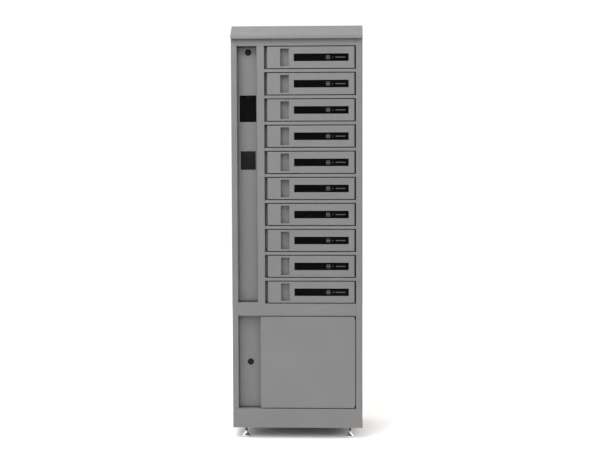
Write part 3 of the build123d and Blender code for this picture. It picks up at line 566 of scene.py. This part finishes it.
def rating_plate():
    """A small metal plate on the rear panel, with printed bars in place of lettering."""
    low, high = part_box("mains_inlet")
    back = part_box("rear_panel")[1].y
    x, z = high.x + 75.0 * MM, (low.z + high.z) / 2
    face = back + 0.6 * MM
    shape = bmesh.new()
    add_plate(shape, rounded_outline((x, z), (70.0, 40.0), 2.0), back - 0.1 * MM, face)
    piece("rating_plate", shape, finishes["zinc_steel"], "carcass")
    shape = bmesh.new()
    for row, length in enumerate((42.0, 56.0, 50.0, 56.0, 34.0)):
        place = (x + (28.0 - length / 2) * MM, z + (13.0 - 6.5 * row) * MM)
        add_plate(shape, rounded_outline(place, (length, 1.7), 0.3), face - 0.05 * MM, face + 0.04 * MM)
    piece("rating_bars", shape, dark_ink, "carcass")


for number in BAYS:
    bay_print(number)
bay_stops()
cap_seal()
column_bead()
lower_door_trim()
levelling_feet()
screen_print()
reader_details()
socket_tongues()
inlet_pins()
rating_plate()


# ------------------------------------------------------------------ camera, floor and light
CAMERA_PLACE = Vector((0.1712, -4.4252, 1.0262))
CAMERA_TURN = math.radians(2.167)
CAMERA_DIP = math.radians(3.557)
CAMERA_ROLL = math.radians(-0.183)
CAMERA_LENS = 72.72
FLOOR_RADIUS = 3.6
KEY_PLACE = Vector((-0.9, -1.5, 3.35))
KEY_AIM = Vector((0, -0.1, 0.9))
KEY_SIZE = (1.8, 1.4)
KEY_POWER = 72
BACKDROP = 1.3  # brightness of the white wall that the camera sees
WALLS = (2.7, 3.4)  # brightness of the studio's upper walls, from the left to the right
LOW_WALLS = (1.9, 0.35)  # and of the walls below those, from the left to the right
SKIRTING = (0.25, 0.35)  # where the low walls give way to the upper ones, as a height on a unit sphere
CEILING = (0.70, 0.80)  # and where the upper walls give way to the unlit ceiling
DARK_END = 0.02  # share of the low walls' light that is left at the unlit end, behind the camera


def add_camera():
    """The photograph's viewpoint: well back, a little right of the kiosk and two thirds of the way up it."""
    across = Vector((math.cos(CAMERA_TURN), math.sin(CAMERA_TURN), 0))
    level = Vector((-math.sin(CAMERA_TURN), math.cos(CAMERA_TURN), 0))
    rise = level * math.sin(CAMERA_DIP) + Vector((0, 0, math.cos(CAMERA_DIP)))
    right = across * math.cos(CAMERA_ROLL) + rise * math.sin(CAMERA_ROLL)
    top = rise * math.cos(CAMERA_ROLL) - across * math.sin(CAMERA_ROLL)
    camera = bpy.data.objects.new("camera", bpy.data.cameras.new("camera"))
    bpy.context.scene.collection.objects.link(camera)
    camera.data.lens = CAMERA_LENS
    camera.data.clip_end = 100
    turn = Matrix((right, top, right.cross(top))).transposed().to_4x4()
    camera.matrix_world = Matrix.Translation(CAMERA_PLACE) @ turn
    bpy.context.scene.camera = camera


def add_floor():
    """A pale round floor, bright enough to run into the background."""
    shape = bmesh.new()
    bmesh.ops.create_circle(shape, cap_ends=True, segments=96, radius=FLOOR_RADIUS)
    mesh = bpy.data.meshes.new("floor")
    shape.to_mesh(mesh)
    shape.free()
    floor = bpy.data.objects.new("floor", mesh)
    bpy.context.scene.collection.objects.link(floor)
    pale = Finish("floor", (0.93, 0.91, 0.89), Roughness=0.7)
    pale.shade(pale.noise(3.0, 3.0), 0.99, 1.01)
    mesh.materials.append(pale.material)


def add_key_light():
    """A large softbox above the front left of the kiosk, turned down to it."""
    lamp = bpy.data.lights.new("key_light", "AREA")
    lamp.shape = "RECTANGLE"
    lamp.size, lamp.size_y = KEY_SIZE
    lamp.energy = KEY_POWER
    holder = bpy.data.objects.new("key_light", lamp)
    holder.location = KEY_PLACE
    holder.rotation_mode = "QUATERNION"
    holder.rotation_quaternion = (KEY_AIM - KEY_PLACE).to_track_quat("-Z", "Y")
    bpy.context.scene.collection.objects.link(holder)


def add_studio():
    """Bright upper walls, dim low ones, and a dark end that the glass faces."""
    world = bpy.data.worlds.new("studio")
    bpy.context.scene.world = world
    world.use_nodes = True
    tree = world.node_tree
    tree.nodes.clear()
    look = add_node(tree, "TexCoord", {}).outputs["Generated"]
    way = add_node(tree, "SeparateXYZ", {0: look}).outputs

    def ramp(axis, ends, values):
        sockets = {"Value": way[axis], "From Min": ends[0], "From Max": ends[1]}
        sockets |= {"To Min": values[0], "To Max": values[1]}
        return add_node(tree, "MapRange", sockets, interpolation_type="SMOOTHSTEP").outputs["Result"]

    def combine(operation, a, b):
        return add_node(tree, "Math", {0: a, 1: b}, operation=operation).outputs["Value"]

    upper = combine("MULTIPLY", ramp("Z", SKIRTING, (0, 1)), ramp("Z", CEILING, (1, 0)))
    upper = combine("MULTIPLY", upper, ramp("X", (-0.4, 0.4), WALLS))
    lower = combine("MULTIPLY", ramp("Z", SKIRTING, (1, 0)), ramp("X", (-0.6, 0.6), LOW_WALLS))
    lower = combine("MULTIPLY", lower, ramp("Y", (-0.992, -0.96), (DARK_END, 1)))
    walls = add_node(tree, "Background", {"Strength": combine("ADD", upper, lower)}).outputs[0]
    backdrop = add_node(tree, "Background", {"Strength": BACKDROP}).outputs[0]
    seen = add_node(tree, "LightPath", {}).outputs["Is Camera Ray"]
    choice = add_node(tree, "MixShader", {0: seen, 1: walls, 2: backdrop}).outputs[0]
    add_node(tree, "OutputWorld", {"Surface": choice})


add_camera()
add_floor()
add_studio()
add_key_light()
bpy.context.scene.view_settings.view_transform = "Standard"
